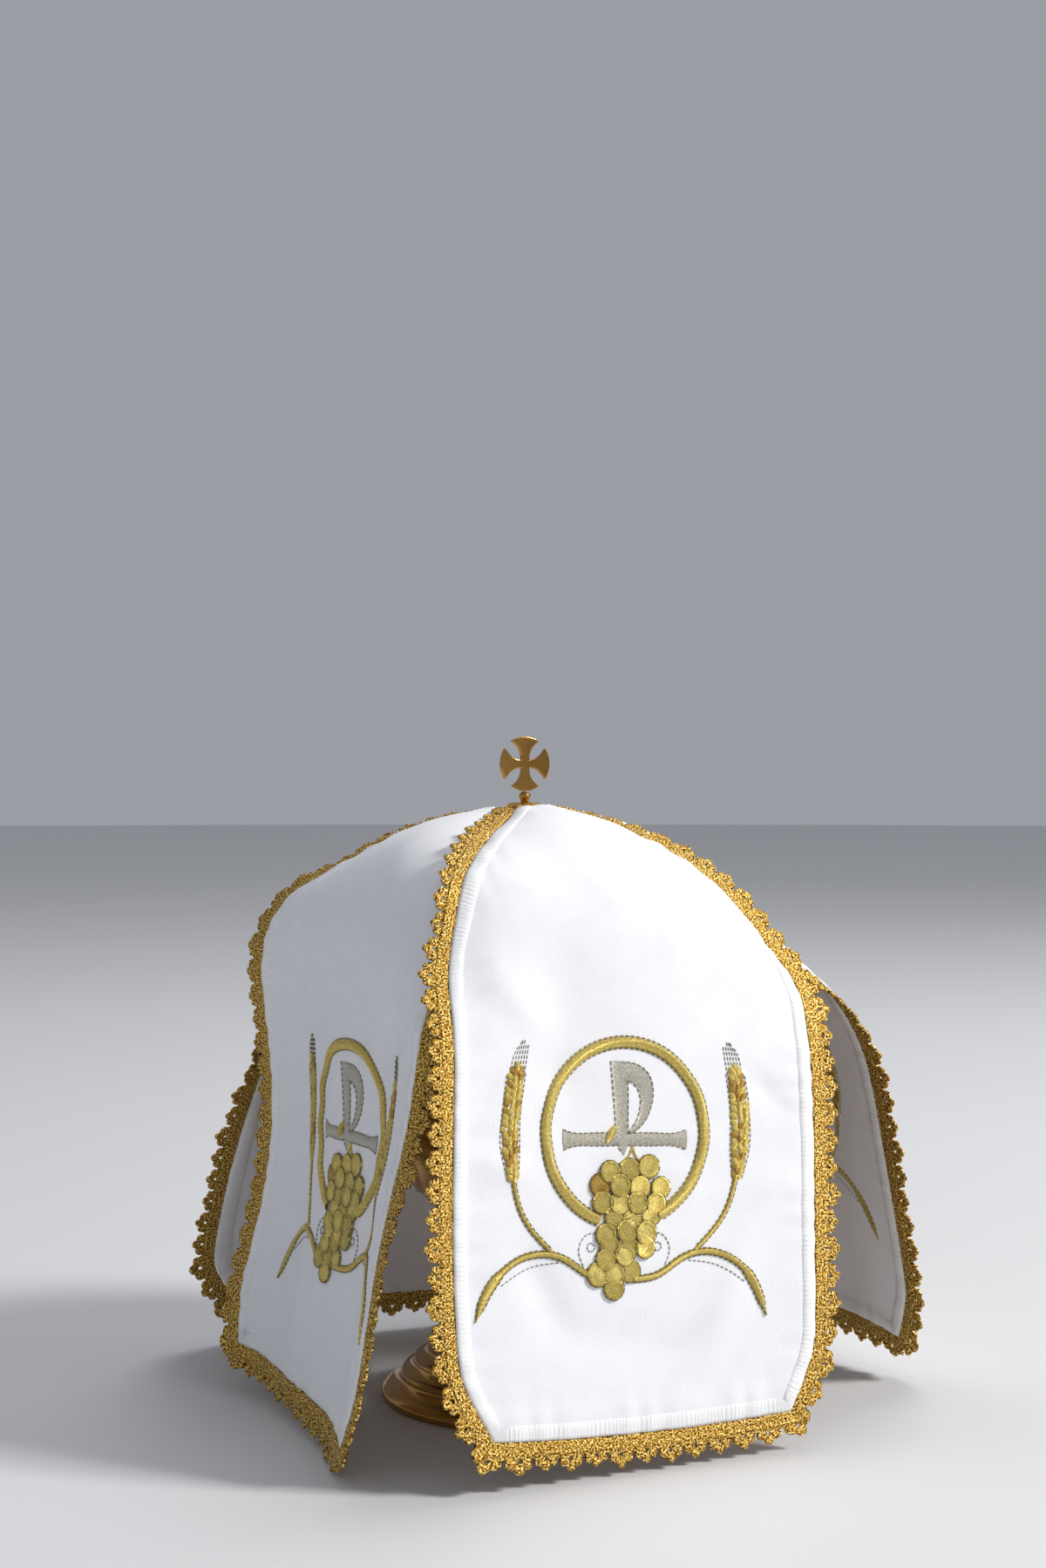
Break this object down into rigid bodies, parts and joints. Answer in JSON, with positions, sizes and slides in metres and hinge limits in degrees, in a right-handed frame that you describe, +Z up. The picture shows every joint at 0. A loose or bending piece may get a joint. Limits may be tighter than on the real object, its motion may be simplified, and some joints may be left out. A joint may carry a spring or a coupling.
{
  "type": "ciborium veil on ciborium",
  "caption": "White cloth veil of pointed lappets with gold crochet lace edging, hung over a lidded gilt ciborium topped by a small cross.",
  "frame": {"origin": "centre of the underside of the foot", "axes": "+Z up the stem, -Y out of the front lappet, +X to the right of someone facing it"},
  "size_m": [0.2985, 0.2795, 0.3012],
  "materials": {
    "cloth": "fine matt white cloth with a white satin-stitch border",
    "lace": "crochet lace of gold metallic thread",
    "embroidery": "satin-stitch and running-stitch embroidery of gold and pale silver-gold thread",
    "gilt": "polished gilt brass"
  },
  "bodies": {
    "root": {"lappet_front": "cloth", "lappet_left": "cloth", "lappet_right": "cloth", "lappet_back": "cloth", "lace_front": "lace", "lace_left": "lace", "lace_right": "lace", "lace_back": "lace", "lace_neck": "lace", "ciborium_cross": "gilt", "ciborium_neck": "gilt", "ciborium_lid": "gilt", "ciborium_bowl": "gilt", "ciborium_foot": "gilt"}
  },
  "joints": []
}
